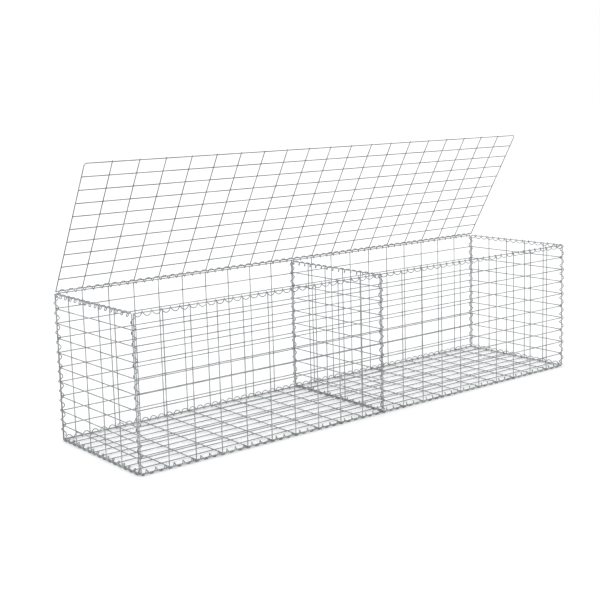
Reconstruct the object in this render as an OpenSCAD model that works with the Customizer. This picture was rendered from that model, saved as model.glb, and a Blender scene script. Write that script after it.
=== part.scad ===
// Welded-mesh gabion basket in two bays, laced along its edges with wire coils, with its lid part open.
// Millimetres. The origin is the middle of the footprint on the ground: +X along the length, +Y to the
// back, +Z up. Each panel is a bent edge wire with line wires in its plane and cross wires welded on.

/* [Basket] */
// Length, between the two end wires of a long panel
basket_l = 2000; // [1000:50:3000]
// Depth from front to back, between the edge wires of the base
basket_w = 500; // [300:25:1000]
// Height of the walls, between their bottom and top wires
basket_h = 500; // [300:25:1000]

/* [Mesh] */
// Spacing of the line wires (the cross wires are twice as far apart)
mesh = 50; // [40:5:75]
// Diameter of the mesh wire
wire_d = 3.5; // [3:0.1:4.5]
// How far a cross wire is melted into the wires it is welded to
weld_sink = 0.5; // [0.3:0.05:0.8]
// Cut across each bent corner of an edge wire, along either side
corner_cut = 6; // [5:0.5:8]
// Gap left between the edge wires of two panels laced side by side
panel_gap = 0.25; // [0.2:0.05:0.4]

/* [Lacing coils] */
// Diameter of the coil wire
coil_wire_d = 3.1; // [2.8:0.1:3.6]
// Play between a coil and the wires it laces
coil_play = 0.45; // [0.35:0.05:0.8]
// Distance from the end of an edge to the first turn of its coil
coil_setback = 12; // [12:1:20]

/* [Lid] */
// How far the lid stands open from level
lid_open = 60; // [10:5:170]
// Gap left between the level lid and the coils parked on the top edges
lid_gap = 1; // [0.8:0.1:2]

/* [Hidden] */
steel = [0.66, 0.68, 0.69];
zinc = [0.58, 0.60, 0.62];
// A bar of eight flats with the cross-section area of the round wire
bar_d = wire_d * sqrt(PI / 4 / (2 * sqrt(2)) * 4);
flat_d = bar_d * cos(22.5);
layer = flat_d - weld_sink;
// From one wire's axis to the next one's where two panels lie side by side
lap = wire_d + panel_gap;
// Wires of one panel, and the spacing that divides each side evenly
cells_l = round(basket_l / (2 * mesh));
cells_w = round(basket_w / (2 * mesh));
cells_h = 2 * round(basket_h / (2 * mesh));
step_l = basket_l / cells_l;
step_w = basket_w / cells_w;
step_h = basket_h / cells_h;
// A coil makes three turns to each large mesh, in flat steps of a sixth of a turn
turns = 3;
steps = 6;
coil_in = coil_wire_d * 0.36;
coil_out = coil_wire_d * 0.64;
coil_half = coil_wire_d * 0.62;
// The lid's hinge wire lies above and inside the back panel's top wire, clear of the parked coils
lid_rise = wire_d + coil_wire_d * cos(30) + coil_play + lid_gap;
pair = sqrt(lap * lap + lid_rise * lid_rise);
// The coil's bore across flats takes that pair of wires with the play around them
bore = (pair / 2) * cos(30) + wire_d / 2 + coil_play;
ring_r = bore / cos(30) + coil_in;
coil_r = ring_r + coil_out;
// From a wire to the axis of the coil whose flat lies on it, and the same for the two wires of a corner
seat = bore - coil_play - wire_d / 2;
seat_corner = sqrt(seat * seat - lap * lap / 2) / sqrt(2);
// Height of the base's edge wire over the ground that the bottom coils lie on
base_z = coil_r * cos(30) - seat;
wall_y = basket_w / 2 + lap;
wall_x = basket_l / 2 + lap;
top_z = base_z + basket_h;
// The divider stands on the base's middle cross wire, one wire below the top of the walls
divider_x = -basket_l / 2 + step_l * floor(cells_l / 2);
divider_z = base_z + layer + lap;
divider_h = top_z - wire_d - divider_z;
divider_mesh = base_z + wire_d - divider_z;
// The hinge wire, which the lid turns on
hinge_y = basket_w / 2;
hinge_z = top_z + lid_rise;

// Node to draw, or all of them

// A straight wire from one point to another in the XY plane, with a flat on top, or an edge for roll 0
module wire(from, to, over = 0, roll = 22.5) {
  d = to - from;
  translate([from[0], from[1], 0])
    rotate(atan2(d[1], d[0]))
      translate([-over, 0, 0])
        rotate([0, 90, 0])
          rotate(roll)
            cylinder(d = bar_d, h = norm(d) + 2 * over, $fn = 8);
}

// The bent corners and straight sides of an edge wire round a panel a by b, with one corner at the origin
module edge_wire(a, b) {
  c = corner_cut;
  m = flat_d / 2 * tan(22.5);
  wire([c, 0], [a - c, 0], m);
  wire([c, b], [a - c, b], m);
  wire([0, c], [0, b - c], m);
  wire([a, c], [a, b - c], m);
  wire([0, c], [c, 0], m);
  wire([a - c, 0], [a, c], m);
  wire([a, b - c], [a - c, b], m);
  wire([c, b], [0, b - c], m);
}

// Line wires along X at spacing v, and cross wires along Y at spacing u, one layer up (side 1) or down (-1)
module mesh_wires(a, b, u, v, side, first = 0) {
  for (y = [v + first : v : b - v / 2])
    wire([0, y], [a, y], 0, 0);
  translate([0, 0, side * layer])
    for (x = [u : u : a - u / 2])
      wire([x, -flat_d / 2], [x, b + flat_d / 2]);
}

module panel(a, b, u, v, side, first = 0) {
  edge_wire(a, b);
  mesh_wires(a, b, u, v, side, first);
}

module base_panel() {
  color(steel)
    translate([-basket_l / 2, -basket_w / 2, base_z])
      panel(basket_l, basket_w, step_l, step_w / 2, 1);
}

module front_panel() {
  color(steel)
    translate([-basket_l / 2, -wall_y, base_z])
      rotate([90, 0, 0])
        panel(basket_l, basket_h, step_l, step_h, 1);
}

module back_panel() {
  mirror([0, 1, 0]) front_panel();
}

module left_end() {
  color(steel)
    translate([-wall_x, basket_w / 2, base_z])
      rotate([90, 0, -90])
        panel(basket_w, basket_h, step_w, step_h, 1);
}

module right_end() {
  mirror([1, 0, 0]) left_end();
}

module divider() {
  color(steel)
    translate([divider_x, basket_w / 2, divider_z])
      rotate([90, 0, -90])
        panel(basket_w, divider_h, step_w, step_h, 1, divider_mesh);
}

// The lid's hinge wire is a straight round rod: the other three sides are one bent wire
module lid() {
  c = corner_cut;
  m = flat_d / 2 * tan(22.5);
  color(steel)
    translate([0, hinge_y, hinge_z])
      rotate([-lid_open, 0, 0])
        translate([-basket_l / 2, 0, 0])
          mirror([0, 1, 0]) {
            translate([-wire_d / 2, 0, 0])
              rotate([0, 90, 0])
                cylinder(d = wire_d, h = basket_l + wire_d, $fn = 24);
            wire([0, 0], [0, basket_w - c], 0);
            wire([basket_l, 0], [basket_l, basket_w - c], 0);
            wire([0, basket_w - c], [c, basket_w], m);
            wire([c, basket_w], [basket_l - c, basket_w], m);
            wire([basket_l - c, basket_w], [basket_l, basket_w - c], m);
            mesh_wires(basket_l, basket_w, step_l, step_w / 2, 1);
          }
}

// A coil along Z on an edge of length l, with three turns in each length u, at angle a level with the
// edge's own wires, and right-handed for hand 1. The wire has three sides, the flat one inwards.
module coil(l, u, a, hand, setback = coil_setback) {
  s = u / turns / steps;
  k0 = ceil(setback / s);
  k1 = floor((l - setback) / s);
  n = k1 - k0;
  ring = [[ring_r - coil_in, -coil_half], [ring_r - coil_in, coil_half], [ring_r + coil_out, 0]];
  points = [
    for (k = [k0 : k1]) for (p = ring)
      [p[0] * cos(a + hand * k * 360 / steps), p[0] * sin(a + hand * k * 360 / steps), k * s + p[1]]
  ];
  sides = [
    for (k = [0 : n - 1]) for (i = [0 : 2]) let (j = (i + 1) % 3) each [
      [3 * k + i, 3 * k + j, 3 * k + 3 + j],
      [3 * k + i, 3 * k + 3 + j, 3 * k + 3 + i]
    ]
  ];
  ends = [[2, 1, 0], [3 * n, 3 * n + 1, 3 * n + 2]];
  faces = concat(sides, ends);
  color(zinc)
    polyhedron(points, hand < 0 ? faces : [for (f = faces) [f[2], f[1], f[0]]]);
}

// A coil along X from the left end of the basket: angle 0 points back and 90 points up
module coil_x(y, z, a, hand) {
  translate([-basket_l / 2, y, z])
    rotate(120, [1, 1, 1])
      coil(basket_l, step_l, a, hand);
}

// A coil along Y from the front of the basket: angle 0 points up and 90 points right
module coil_y(x, z, a, hand) {
  translate([x, -basket_w / 2, z])
    rotate(240, [1, 1, 1])
      coil(basket_w, step_w, a, hand);
}

// A coil up a wall: angle 0 points right and 90 points back
module coil_z(x, y, a, hand, setback = coil_setback) {
  translate([x, y, base_z])
    coil(basket_h, 2 * step_h, a, hand, setback);
}

module front_bottom_coil() {
  coil_x(-basket_w / 2 - lap / 2, base_z + seat, 300, -1);
}

module back_bottom_coil() {
  mirror([0, 1, 0]) front_bottom_coil();
}

module left_bottom_coil() {
  coil_y(-basket_l / 2 - lap / 2, base_z + seat, 30, 1);
}

module right_bottom_coil() {
  mirror([1, 0, 0]) left_bottom_coil();
}

module divider_bottom_coil() {
  coil_y(divider_x, base_z + layer + seat, 90, 1);
}

module left_front_coil() {
  coil_z(-basket_l / 2 - lap / 2 + seat_corner, -basket_w / 2 - lap / 2 + seat_corner, 225, -1);
}

module left_back_coil() {
  mirror([0, 1, 0]) left_front_coil();
}

module right_front_coil() {
  mirror([1, 0, 0]) left_front_coil();
}

module right_back_coil() {
  mirror([1, 0, 0]) left_back_coil();
}

module divider_front_coil() {
  coil_z(divider_x, -wall_y - layer + seat, 62, -1, coil_r + seat + 1);
}

module divider_back_coil() {
  mirror([0, 1, 0]) divider_front_coil();
}

module hinge_coil() {
  coil_x((hinge_y + wall_y) / 2, (hinge_z + top_z) / 2, 180, 1);
}

module front_top_coil() {
  coil_x(-wall_y, top_z - seat, 60, -1);
}

module left_top_coil() {
  coil_y(-wall_x, top_z - seat, 90, -1);
}

module right_top_coil() {
  mirror([1, 0, 0]) left_top_coil();
}

module divider_top_coil() {
  coil_y(divider_x, top_z - wire_d - seat, 90, -1);
}

base_panel();
front_panel();
back_panel();
left_end();
right_end();
divider();
lid();
front_bottom_coil();
back_bottom_coil();
left_bottom_coil();
right_bottom_coil();
divider_bottom_coil();
left_front_coil();
left_back_coil();
right_front_coil();
right_back_coil();
divider_front_coil();
divider_back_coil();
hinge_coil();
front_top_coil();
left_top_coil();
right_top_coil();
divider_top_coil();
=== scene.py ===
import math
import random

import bpy
from mathutils import Matrix, Vector


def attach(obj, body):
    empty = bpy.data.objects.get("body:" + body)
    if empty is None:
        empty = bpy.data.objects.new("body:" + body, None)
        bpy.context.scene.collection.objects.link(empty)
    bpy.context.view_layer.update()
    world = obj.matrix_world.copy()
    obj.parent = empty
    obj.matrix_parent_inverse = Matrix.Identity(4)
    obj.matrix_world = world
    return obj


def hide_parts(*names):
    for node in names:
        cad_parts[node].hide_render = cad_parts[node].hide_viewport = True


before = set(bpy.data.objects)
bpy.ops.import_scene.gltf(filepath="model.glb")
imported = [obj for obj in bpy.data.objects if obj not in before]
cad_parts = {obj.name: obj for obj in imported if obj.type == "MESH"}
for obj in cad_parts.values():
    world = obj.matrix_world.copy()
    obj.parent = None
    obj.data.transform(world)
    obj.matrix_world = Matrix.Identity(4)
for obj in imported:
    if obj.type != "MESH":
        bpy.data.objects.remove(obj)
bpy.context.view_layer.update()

# BASE PANEL. A welded mesh mat of 3.5 mm galvanised wire, 2000 by 500 mm, that is the basket's floor.
# One bent wire runs round its edge, nine line wires run the length between its ends, and nineteen
# cross wires are spot-welded on top of them, 100 mm apart.
MM = 0.001
length, depth, height = 2.0, 0.5, 0.5
small_mesh, large_mesh = 50 * MM, 100 * MM
wire_r, wire_sides, hinge_sides = 1.75 * MM, 12, 16
weld_layer = 2.908 * MM  # from a line wire's axis up to the cross wire's, melted together at the weld
lap = 3.75 * MM  # between the edge wires of two panels that lie side by side
base_z = 4.885 * MM  # the edge wire's height over the ground, with the lacing under it
bend_r, free_bend_r = 5 * MM, 9 * MM  # corners laced to another panel, and the lid's free ones
bend_steps = 8
shear_length, shear_taper = 0.5 * MM, 0.82  # the nipped end of a cropped wire
line_bow, cross_bow, bow_step = 0.15 * MM, 0.1 * MM, 25 * MM
bead_r, bead_sides = 2.5 * MM, 10
bead_rows = ((-1.15, 0.55), (-0.55, 0.94), (0.0, 1.0), (0.55, 0.94), (1.15, 0.55))
bead_inset = 1.2 * MM


def run_wire(skin, path, ups, radii, sides, closed=False):
    """Lays a round wire along a path: a ring of points at each step, and flat cut ends."""
    verts, faces, finishes = skin
    first = len(verts)
    count = len(path)
    for i, p in enumerate(path):
        a = path[i - 1] if i or closed else p
        b = path[(i + 1) % count] if i + 1 < count or closed else p
        along = (b - a).normalized()
        up = (ups[i] - along * ups[i].dot(along)).normalized()
        side = along.cross(up)
        for k in range(sides):
            t = 2 * math.pi * k / sides
            verts.append(p + (up * math.cos(t) + side * math.sin(t)) * radii[i])
    for i in range(count if closed else count - 1):
        ring, following = first + i * sides, first + (i + 1) % count * sides
        for k in range(sides):
            j = (k + 1) % sides
            faces.append((ring + k, ring + j, following + j, following + k))
            finishes.append(0)
    if not closed:
        faces.append(tuple(first + k for k in reversed(range(sides))))
        faces.append(tuple(first + (count - 1) * sides + k for k in range(sides)))
        finishes.extend((0, 0))


def cut_wire(skin, start, end, bow, chance):
    """A straight length from the mesh machine: sheared ends, and a slight bow left from the straightener."""
    up = Vector((0, 0, 1))
    span = end - start
    side = span.cross(up).normalized()
    steps = max(4, round(span.length / bow_step))
    lift, sway = chance.uniform(-bow, bow), chance.uniform(-bow, bow)
    nip = shear_length / span.length
    stops = [0, nip] + [k / steps for k in range(1, steps)] + [1 - nip, 1]
    path, radii = [], []
    for t in stops:
        wave = math.sin(math.pi * t)
        path.append(start + span * t + up * lift * wave + side * sway * wave)
        radii.append(wire_r * (shear_taper if t in (0, 1) else 1))
    run_wire(skin, path, [up] * len(path), radii, wire_sides)


def weld_bead(skin, spot, chance):
    """The squeezed ring of metal round a spot weld: a low flattened bead between the two wires."""
    verts, faces, finishes = skin
    first = len(verts)
    reach = bead_r * chance.uniform(0.94, 1.08)
    twist = chance.uniform(0, 6.28)
    for rise, wide in bead_rows:
        for k in range(bead_sides):
            t = twist + 2 * math.pi * k / bead_sides
            out = reach * wide * (1 + 0.06 * math.sin(3 * t))
            verts.append(spot + Vector((math.cos(t) * out, math.sin(t) * out, rise * MM)))
    last = first + (len(bead_rows) - 1) * bead_sides
    for ring in range(first, last, bead_sides):
        for k in range(bead_sides):
            j = (k + 1) % bead_sides
            faces.append((ring + k, ring + j, ring + bead_sides + j, ring + bead_sides + k))
            finishes.append(1)
    faces.append(tuple(first + k for k in reversed(range(bead_sides))))
    faces.append(tuple(last + k for k in range(bead_sides)))
    finishes.extend((1, 1))


def edge_bends(wide, high, radius, open_side=False):
    """The edge wire's line round a panel, with its corners bent on a mandrel."""
    corners = [Vector(c) for c in ((0, 0), (wide, 0), (wide, high), (0, high))]
    path = []
    for i, corner in enumerate(corners):
        if open_side and i < 2:
            continue
        to_a = (corners[i - 1] - corner).normalized()
        to_b = (corners[(i + 1) % 4] - corner).normalized()
        middle = corner + (to_a + to_b) * radius
        for k in range(bend_steps + 1):
            t = math.pi / 2 * k / bend_steps
            spot = middle - to_b * radius * math.cos(t) - to_a * radius * math.sin(t)
            path.append(Vector((spot.x, spot.y, 0)))
    if open_side:
        path = [Vector((wide, 0, 0))] + path + [Vector((0, 0, 0))]
    return path


def mesh_panel(name, wide, high, levels, place, seed, hinged=False):
    """One welded panel in its own plane, then set in its place in the basket."""
    chance = random.Random(seed)
    skin = ([], [], [])
    face = Vector((0, 0, 1))
    loop = edge_bends(wide, high, free_bend_r if hinged else bend_r, hinged)
    run_wire(skin, loop, [face] * len(loop), [wire_r] * len(loop), wire_sides, not hinged)
    for y in levels:
        cut_wire(skin, Vector((0, y, 0)), Vector((wide, y, 0)), line_bow, chance)
        for x in (bead_inset, wide - bead_inset):
            weld_bead(skin, Vector((x, y, 0)), chance)
    for x in [k * large_mesh for k in range(1, round(wide / large_mesh))]:
        foot, tip = Vector((x, -wire_r, weld_layer)), Vector((x, high + wire_r, weld_layer))
        cut_wire(skin, foot, tip, cross_bow, chance)
        for y in [0] + levels + [high]:
            weld_bead(skin, Vector((x, y, weld_layer / 2)), chance)
    if hinged:
        left_cut, right_cut = -wire_r, wide + wire_r
        stops = (left_cut, left_cut + shear_length, wide / 2, right_cut - shear_length, right_cut)
        rod = [Vector((x, 0, 0)) for x in stops]
        radii = [wire_r * f for f in (shear_taper, 1, 1, 1, shear_taper)]
        run_wire(skin, rod, [face] * len(rod), radii, hinge_sides)
    verts, faces, finishes = skin
    mesh = bpy.data.meshes.new(name)
    mesh.from_pydata([place @ v for v in verts], [], faces)
    mesh.polygons.foreach_set("material_index", finishes)
    mesh.polygons.foreach_set("use_smooth", [len(f) == 4 for f in faces])
    mesh.update()
    panel = bpy.data.objects.new(name, mesh)
    bpy.context.scene.collection.objects.link(panel)
    return panel


# The zinc skin: a crystalline spangle a few millimetres across, cloudy dull patches where the coat has
# weathered, and small runs. Every galvanised wire of the basket takes it, with its own amounts.
zinc_skin = bpy.data.node_groups.new("zinc_skin", "ShaderNodeTree")
for label, kind, side in (("Bright", "NodeSocketColor", "INPUT"), ("Dull", "NodeSocketColor", "INPUT"),
                          ("Spangle", "NodeSocketFloat", "INPUT"), ("Gloss", "NodeSocketFloat", "INPUT"),
                          ("Color", "NodeSocketColor", "OUTPUT"), ("Roughness", "NodeSocketFloat", "OUTPUT"),
                          ("Height", "NodeSocketFloat", "OUTPUT")):
    zinc_skin.interface.new_socket(label, in_out=side, socket_type=kind)
tree = zinc_skin.nodes
link = zinc_skin.links.new
given, made = tree.new("NodeGroupInput"), tree.new("NodeGroupOutput")
where = tree.new("ShaderNodeTexCoord")
crystals = tree.new("ShaderNodeTexVoronoi")
crystals.inputs["Scale"].default_value = 420
clouds = tree.new("ShaderNodeTexNoise")
clouds.inputs["Scale"].default_value = 26
clouds.inputs["Detail"].default_value = 6
runs = tree.new("ShaderNodeTexNoise")
runs.inputs["Scale"].default_value = 900
runs.inputs["Detail"].default_value = 3
for texture in (crystals, clouds, runs):
    link(where.outputs["Object"], texture.inputs["Vector"])
facet = tree.new("ShaderNodeSeparateColor")
link(crystals.outputs["Color"], facet.inputs["Color"])
patch = tree.new("ShaderNodeMapRange")
patch.inputs["From Min"].default_value = 0.36
patch.inputs["From Max"].default_value = 0.64
link(clouds.outputs["Fac"], patch.inputs["Value"])
grain = tree.new("ShaderNodeMath")
grain.operation = "MULTIPLY"
link(facet.outputs["Red"], grain.inputs[0])
link(given.outputs["Spangle"], grain.inputs[1])
shade = tree.new("ShaderNodeMath")
shade.operation = "ADD"
shade.use_clamp = True
link(patch.outputs["Result"], shade.inputs[0])
link(grain.outputs["Value"], shade.inputs[1])
tone = tree.new("ShaderNodeMix")
tone.data_type = "RGBA"
link(shade.outputs["Value"], tone.inputs["Factor"])
link(given.outputs["Bright"], tone.inputs["A"])
link(given.outputs["Dull"], tone.inputs["B"])
matt = tree.new("ShaderNodeMath")
matt.operation = "MULTIPLY_ADD"
matt.inputs[1].default_value = 0.16
link(shade.outputs["Value"], matt.inputs[0])
link(given.outputs["Gloss"], matt.inputs[2])
relief = tree.new("ShaderNodeMath")
relief.operation = "MULTIPLY_ADD"
relief.inputs[1].default_value = 0.35
link(facet.outputs["Green"], relief.inputs[0])
link(runs.outputs["Fac"], relief.inputs[2])
link(tone.outputs["Result"], made.inputs["Color"])
link(matt.outputs["Value"], made.inputs["Roughness"])
link(relief.outputs["Value"], made.inputs["Height"])


def galvanised(name, bright, dull, spangle, gloss, bump):
    """A zinc-coated steel finish, made from the zinc skin with the colours given for this wire."""
    finish = bpy.data.materials.new(name)
    finish.use_nodes = True
    nodes, join = finish.node_tree.nodes, finish.node_tree.links.new
    steel = nodes["Principled BSDF"]
    steel.inputs["Metallic"].default_value = 0.9
    skin = nodes.new("ShaderNodeGroup")
    skin.node_tree = zinc_skin
    skin.inputs["Bright"].default_value = (*bright, 1)
    skin.inputs["Dull"].default_value = (*dull, 1)
    skin.inputs["Spangle"].default_value = spangle
    skin.inputs["Gloss"].default_value = gloss
    rise = nodes.new("ShaderNodeBump")
    rise.inputs["Strength"].default_value = bump
    rise.inputs["Distance"].default_value = 0.2 * MM
    join(skin.outputs["Color"], steel.inputs["Base Color"])
    join(skin.outputs["Roughness"], steel.inputs["Roughness"])
    join(skin.outputs["Height"], rise.inputs["Height"])
    join(rise.outputs["Normal"], steel.inputs["Normal"])
    return finish


mesh_wire = galvanised("mesh_wire", bright=(0.47, 0.496, 0.513), dull=(0.295, 0.312, 0.325),
                       spangle=0.5, gloss=0.32, bump=0.3)
weld_metal = galvanised("weld_metal", bright=(0.31, 0.323, 0.333), dull=(0.2, 0.209, 0.216),
                        spangle=0.3, gloss=0.48, bump=0.5)


def fit_panel(panel, node, body, finish):
    """The panel takes its finish, stands for its solid and moves with its body."""
    panel.data.materials.append(finish)
    panel.data.materials.append(weld_metal)
    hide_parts(node)
    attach(panel, body)


flat_levels = [k * small_mesh for k in range(1, round(depth / small_mesh))]
place = Matrix.Translation((-length / 2, -depth / 2, base_z))
base = mesh_panel("base_mesh", length, depth, flat_levels, place, 11)
fit_panel(base, "base_panel", "basket", mesh_wire)

# FRONT AND BACK PANELS. The same galvanised mat stood on edge outside the base, with its cross wires
# upright on the outer face. Its bottom wire lies beside the base's edge wire and is laced to it.
wall_y = depth / 2 + lap
stood_up = Matrix.Rotation(math.radians(90), 4, "X")
wall_levels = [k * small_mesh for k in range(1, round(height / small_mesh))]
place = Matrix.Translation((-length / 2, -wall_y, base_z)) @ stood_up
front = mesh_panel("front_mesh", length, height, wall_levels, place, 12)
fit_panel(front, "front_panel", "basket", mesh_wire)
place = Matrix.Translation((length / 2, wall_y, base_z)) @ Matrix.Rotation(math.pi, 4, "Z") @ stood_up
back = mesh_panel("back_mesh", length, height, wall_levels, place, 13)
fit_panel(back, "back_panel", "basket", mesh_wire)

# END PANELS. Two short mats of the same wire, 500 by 500 mm, that close the basket's ends outside the
# base and between the front and back, with four uprights each on the outer face.
wall_x = length / 2 + lap
place = Matrix.Translation((-wall_x, depth / 2, base_z)) @ Matrix.Rotation(-math.pi / 2, 4, "Z") @ stood_up
left = mesh_panel("left_end_mesh", depth, height, wall_levels, place, 14)
fit_panel(left, "left_end", "basket", mesh_wire)
place = Matrix.Translation((wall_x, -depth / 2, base_z)) @ Matrix.Rotation(math.pi / 2, 4, "Z") @ stood_up
right = mesh_panel("right_end_mesh", depth, height, wall_levels, place, 15)
fit_panel(right, "right_end", "basket", mesh_wire)

# DIVIDER. One more short mat of the same wire, across the middle, that makes the two bays. It stands on
# the base's middle cross wire and ends one wire below the top of the walls, so that the lid closes over it.
divider_z = base_z + weld_layer + lap
divider_h = base_z + height - 2 * wire_r - divider_z
divider_levels = [base_z + 2 * wire_r + z - divider_z for z in wall_levels]
place = Matrix.Translation((0, depth / 2, divider_z)) @ Matrix.Rotation(-math.pi / 2, 4, "Z") @ stood_up
divider = mesh_panel("divider_mesh", depth, divider_h, divider_levels, place, 16)
fit_panel(divider, "divider", "basket", mesh_wire)

# LID. One galvanised mat over both bays, the size of the base, that turns on its straight back wire and
# stands open 60 degrees. Its other three sides are one wire with the free corners bent round.
top_z = base_z + height
hinge_rise = 7.634 * MM  # the lid's back wire over the back panel's top wire
hinge = Vector((0, depth / 2, top_z + hinge_rise))
lid_open = math.radians(60)
place = (Matrix.Translation(hinge) @ Matrix.Rotation(-lid_open, 4, "X")
         @ Matrix.Translation((length / 2, 0, 0)) @ Matrix.Rotation(math.pi, 4, "Z"))
lid = mesh_panel("lid_mesh", length, depth, flat_levels, place, 17, hinged=True)
# The lid's colours are the other panels' wire darkened by about a fifth: painted shade on the open lid, not
# a different wire.
lid_wire_painted_shade = galvanised("lid_wire_painted_shade", bright=(0.365, 0.385, 0.399), dull=(0.228, 0.241, 0.251),
                      spangle=0.5, gloss=0.36, bump=0.3)
fit_panel(lid, "lid", "lid", lid_wire_painted_shade)

# LACING COILS. Open spirals of 3.1 mm galvanised spring wire, 18 mm across, with three turns to each
# large mesh. Each is screwed along an edge by hand, so that its turns pass round the edge wires of
# both panels and between their mesh wires. The four below carry the basket on the ground.
coil_r, coil_wire_r = 7.6 * MM, 1.55 * MM
coil_sides, coil_taper = 10, 0.8
pitch, turn_steps = large_mesh / 3, 28
edge_run = {"x": length, "y": depth, "z": height}
seat = 3.683 * MM  # from an edge wire to the axis of the coil that hangs or stands on it
coil_zinc = galvanised("coil_zinc", bright=(0.425, 0.447, 0.462), dull=(0.265, 0.279, 0.289),
                       spangle=0.4, gloss=0.28, bump=0.2)


def lacing(name, node, along, start, phase, hand, short, flip=(1, 1)):
    """A spiral on the edge that begins at start: phase is its angle level with the edge's mesh wires,
    hand the way that it winds, and flip mirrors it to the other end or to the back. It stops short of
    the edge's two ends by that many millimetres, where the other spirals of the corner leave it room."""
    first = math.ceil(short[0] * MM / pitch * turn_steps)
    last = math.floor((edge_run[along] - short[1] * MM) / pitch * turn_steps)
    path, ups = [], []
    for k in range(first, last + 1):
        t = math.radians(phase) + hand * 2 * math.pi * k / turn_steps
        s, c, d = k * pitch / turn_steps, math.cos(t), math.sin(t)
        out = {"x": Vector((0, c, d)), "y": Vector((d, 0, c)), "z": Vector((c, d, 0))}[along]
        axis = {"x": Vector((s, 0, 0)), "y": Vector((0, s, 0)), "z": Vector((0, 0, s))}[along]
        spot = Vector(start) + axis + out * coil_r
        path.append(Vector((spot.x * flip[0], spot.y * flip[1], spot.z)))
        ups.append(Vector((out.x * flip[0], out.y * flip[1], out.z)))
    radii = [coil_wire_r] * len(path)
    radii[0] = radii[-1] = coil_wire_r * coil_taper
    skin = ([], [], [])
    run_wire(skin, path, ups, radii, coil_sides)
    verts, faces = skin[:2]
    mesh = bpy.data.meshes.new(name)
    mesh.from_pydata(verts, [], faces)
    mesh.polygons.foreach_set("use_smooth", [len(f) == 4 for f in faces])
    mesh.materials.append(coil_zinc)
    mesh.update()
    spiral = bpy.data.objects.new(name, mesh)
    bpy.context.scene.collection.objects.link(spiral)
    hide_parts(node)
    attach(spiral, "basket")


low = base_z + seat
start = (-length / 2, -depth / 2 - lap / 2, low)
lacing("front_bottom_lacing", "front_bottom_coil", "x", start, 300, -1, (2, 4))
lacing("back_bottom_lacing", "back_bottom_coil", "x", start, 300, -1, (2, 4), flip=(1, -1))
start = (-length / 2 - lap / 2, -depth / 2, low)
lacing("left_bottom_lacing", "left_bottom_coil", "y", start, 30, 1, (2, 4))
lacing("right_bottom_lacing", "right_bottom_coil", "y", start, 30, 1, (9, 4), flip=(-1, 1))
start = (0, -depth / 2, low + weld_layer)
lacing("divider_bottom_lacing", "divider_bottom_coil", "y", start, 90, 1, (2, 2))

# UPRIGHT COILS. The same galvanised spiral lacing each corner of the basket, pulled inwards along the
# front and back panels, and lacing the divider to an upright of the front and back panels.
pull = 1.7 * MM
start = (-length / 2 - lap / 2 + pull, -depth / 2 - lap / 2, base_z)
lacing("left_front_lacing", "left_front_coil", "z", start, 225, -1, (2, 2))
lacing("left_back_lacing", "left_back_coil", "z", start, 225, -1, (13, 2), flip=(1, -1))
lacing("right_front_lacing", "right_front_coil", "z", start, 225, -1, (2, 2), flip=(-1, 1))
lacing("right_back_lacing", "right_back_coil", "z", start, 225, -1, (13, 2), flip=(-1, -1))
start = (0, -wall_y - weld_layer + seat, base_z)
lacing("divider_front_lacing", "divider_front_coil", "z", start, 62, -1, (5, 5))
lacing("divider_back_lacing", "divider_back_coil", "z", start, 62, -1, (4, 5), flip=(1, -1))

# HINGE COIL AND PARKED COILS. The back's galvanised spiral holds the lid's straight wire above the back
# panel's top wire and is the hinge. The other top coils hang on their edges, ready to lace the lid down.
start = (-length / 2, (hinge.y + wall_y) / 2, (hinge.z + top_z) / 2)
lacing("hinge_lacing", "hinge_coil", "x", start, 180, 1, (6.5, 6.5))
hang = top_z - seat
start = (-length / 2, -wall_y, hang)
lacing("front_top_lacing", "front_top_coil", "x", start, 60, -1, (2, 2))
start = (-wall_x, -depth / 2, hang)
lacing("left_top_lacing", "left_top_coil", "y", start, 90, -1, (5, 2))
lacing("right_top_lacing", "right_top_coil", "y", start, 90, -1, (2, 2), flip=(-1, 1))
start = (0, -depth / 2, hang - 2 * wire_r)
lacing("divider_top_lacing", "divider_top_coil", "y", start, 90, -1, (8, 2))

# STUDIO. A white floor under even white light, with one broad soft lamp from the left, and the camera
# at the photograph's place, about three and a half metres from the basket's left front corner.
world_light, world_seen = 0.9, 1.0
floor_white, floor_seen = (0.97, 0.97, 0.97, 1), 0.16
floor_half, floor_drop = 60, 0.7 * MM
frame_px, focal_px = 600, 1145.95
shift_px = (-10.0, -31.8)
camera_spot = (-2.6927, -3.2087, 1.1435)
camera_turn = (81.299, 1.472, -39.007)
scene = bpy.context.scene
scene.view_settings.view_transform = "Standard"


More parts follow.
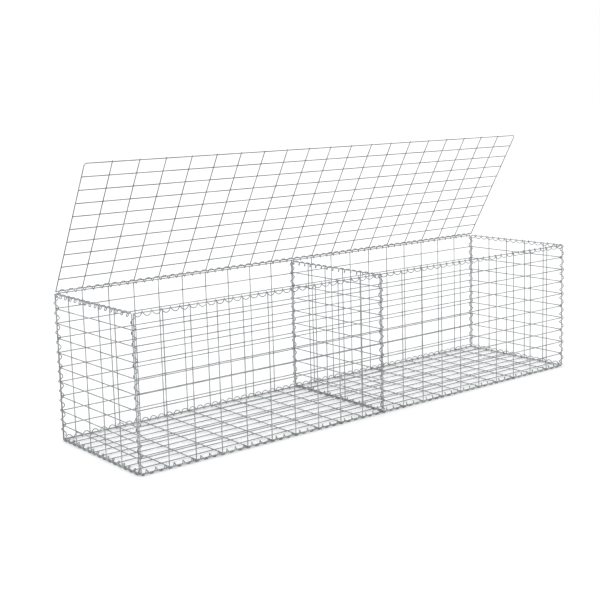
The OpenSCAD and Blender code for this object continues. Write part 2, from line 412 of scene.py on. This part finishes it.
def level_when_seen(nodes, join, unseen, seen):
    """One level for what the camera or a mirror looks at, and another for the light that it gives."""
    rays = nodes.new("ShaderNodeLightPath")
    direct, shown = nodes.new("ShaderNodeMath"), nodes.new("ShaderNodeMath")
    direct.operation = shown.operation = "MAXIMUM"
    join(rays.outputs["Is Camera Ray"], direct.inputs[0])
    join(rays.outputs["Is Glossy Ray"], direct.inputs[1])
    join(direct.outputs["Value"], shown.inputs[0])
    join(rays.outputs["Is Transmission Ray"], shown.inputs[1])
    level = nodes.new("ShaderNodeMapRange")
    level.inputs["To Min"].default_value = unseen
    level.inputs["To Max"].default_value = seen
    join(shown.outputs["Value"], level.inputs["Value"])
    return level.outputs["Result"]


world = bpy.data.worlds.new("white_studio")
scene.world = world
world.use_nodes = True
nodes, join = world.node_tree.nodes, world.node_tree.links.new
sky = nodes["Background"]
sky.inputs["Color"].default_value = (1, 1, 1, 1)
join(level_when_seen(nodes, join, world_light, world_seen), sky.inputs["Strength"])

lamp = bpy.data.lights.new("soft_lamp", "SUN")
lamp.energy = 0.5
lamp.angle = math.radians(30)
lamp_stand = bpy.data.objects.new("soft_lamp", lamp)
lamp_stand.rotation_euler = (math.radians(6), math.radians(-50), 0)
scene.collection.objects.link(lamp_stand)

floor_mesh = bpy.data.meshes.new("floor")
floor_corners = [(x * floor_half, y * floor_half, 0) for x, y in ((-1, -1), (1, -1), (1, 1), (-1, 1))]
floor_mesh.from_pydata(floor_corners, [], [(0, 1, 2, 3)])
floor = bpy.data.objects.new("floor", floor_mesh)
floor.location.z = -floor_drop
scene.collection.objects.link(floor)
paper = bpy.data.materials.new("white_floor")
paper.use_nodes = True
nodes, join = paper.node_tree.nodes, paper.node_tree.links.new
matt_white = nodes["Principled BSDF"]
matt_white.inputs["Base Color"].default_value = floor_white
matt_white.inputs["Roughness"].default_value = 1
matt_white.inputs["Specular IOR Level"].default_value = 0
matt_white.inputs["Emission Color"].default_value = (1, 1, 1, 1)
join(level_when_seen(nodes, join, 0.0, floor_seen), matt_white.inputs["Emission Strength"])
floor_mesh.materials.append(paper)

camera = bpy.data.cameras.new("camera")
camera.sensor_width = 36
camera.lens = camera.sensor_width * focal_px / frame_px
camera.shift_x, camera.shift_y = (s / frame_px for s in shift_px)
camera.clip_end = 200
viewpoint = bpy.data.objects.new("camera", camera)
viewpoint.location = camera_spot
viewpoint.rotation_euler = [math.radians(a) for a in camera_turn]
scene.collection.objects.link(viewpoint)
scene.camera = viewpoint
